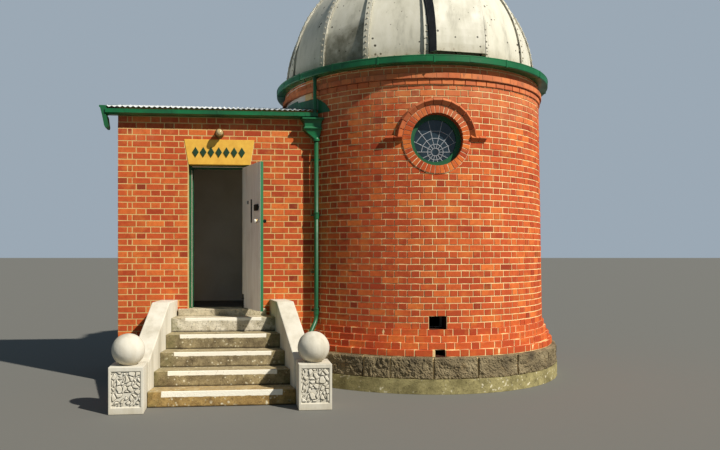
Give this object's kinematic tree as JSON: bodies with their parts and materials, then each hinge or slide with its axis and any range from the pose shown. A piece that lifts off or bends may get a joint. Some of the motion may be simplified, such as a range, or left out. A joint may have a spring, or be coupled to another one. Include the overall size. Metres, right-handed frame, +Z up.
{
  "type": "observatory building with dome and entrance porch",
  "caption": "Round brick observatory tower with a turning ribbed dome and shutter, and a brick entrance porch with splayed steps and an outward door.",
  "frame": {"origin": "on the ground, below the middle of the whole building", "axes": "+Z up, the porch and its steps face -Y, and the round tower is on the +X side of the porch"},
  "size_m": [6.94, 5.21, 6.53],
  "materials": {
    "brick": "matte, lime mortar",
    "bluestone": "rock faced",
    "concrete": "matte, weathered",
    "render": "painted render",
    "lintel_paint": "painted",
    "dome_paint": "matte, stained",
    "green_metal": "satin",
    "green_timber": "painted, satin",
    "door_paint": "painted, satin",
    "floor_boards": "worn",
    "floor_paving": "matte",
    "track_steel": "worn",
    "roof_sheet": "galvanised",
    "knob_brass": "worn",
    "lamp_metal": "weathered",
    "window_pane": "dark"
  },
  "bodies": {
    "building": {"tower_base_courses": "brick", "tower_wall_left": "brick", "tower_wall_front": "brick", "tower_wall_right_front": "brick", "tower_wall_right_back": "brick", "tower_wall_back": "brick", "tower_wall_left_back": "brick", "window_ring": "brick", "hood_mould": "brick", "string_course": "brick", "porch_front_wall_left": "brick", "porch_front_wall_right": "brick", "porch_front_wall_top": "brick", "porch_left_wall": "brick", "porch_back_wall": "brick", "tower_plinth": "bluestone", "porch_footing": "bluestone", "tower_footing": "concrete", "step_1": "concrete", "step_2": "concrete", "step_3": "concrete", "step_4": "concrete", "step_5": "concrete", "door_threshold": "concrete", "cheek_wall_left": "render", "cheek_wall_right": "render", "pedestal_left": "render", "pedestal_right": "render", "ball_left": "render", "ball_right": "render", "porch_lintel": "lintel_paint", "ring_gutter": "green_metal", "gutter_dropper": "green_metal", "porch_gutter": "green_metal", "rainwater_head": "green_metal", "downpipe": "green_metal", "roof_flashing": "green_metal", "window_frame": "green_timber", "door_frame": "green_timber", "verge_board": "green_timber", "tower_floor": "floor_boards", "porch_floor": "floor_paving", "roller_track": "track_steel", "porch_roof": "roof_sheet", "wall_lamp": "lamp_metal", "window_glass": "window_pane"},
    "dome": {"dome_base_ring": "dome_paint", "dome_front": "dome_paint", "dome_right": "dome_paint", "dome_back": "dome_paint", "dome_left": "dome_paint", "slit_rail_left": "track_steel", "slit_rail_right": "track_steel"},
    "shutter": {"shutter": "dome_paint"},
    "door": {"door_leaf": "door_paint", "door_knobs": "knob_brass"}
  },
  "joints": [
    {"name": "dome_turn", "type": "hinge", "parent": "building", "child": "dome", "pos_m": [1.168, 0.335, 4.5], "axis": [0, 0, 1], "continuous": true},
    {"name": "shutter_lift", "type": "hinge", "parent": "dome", "child": "shutter", "pos_m": [1.168, 0.335, 4.5], "axis": [-0.9942, -0.1071, 0], "range_deg": [0, 78]},
    {"name": "entry_door", "type": "hinge", "parent": "building", "child": "door", "pos_m": [-1.4445, -0.709, 2], "axis": [0, 0, 1], "range_deg": [-107, 13]}
  ]
}
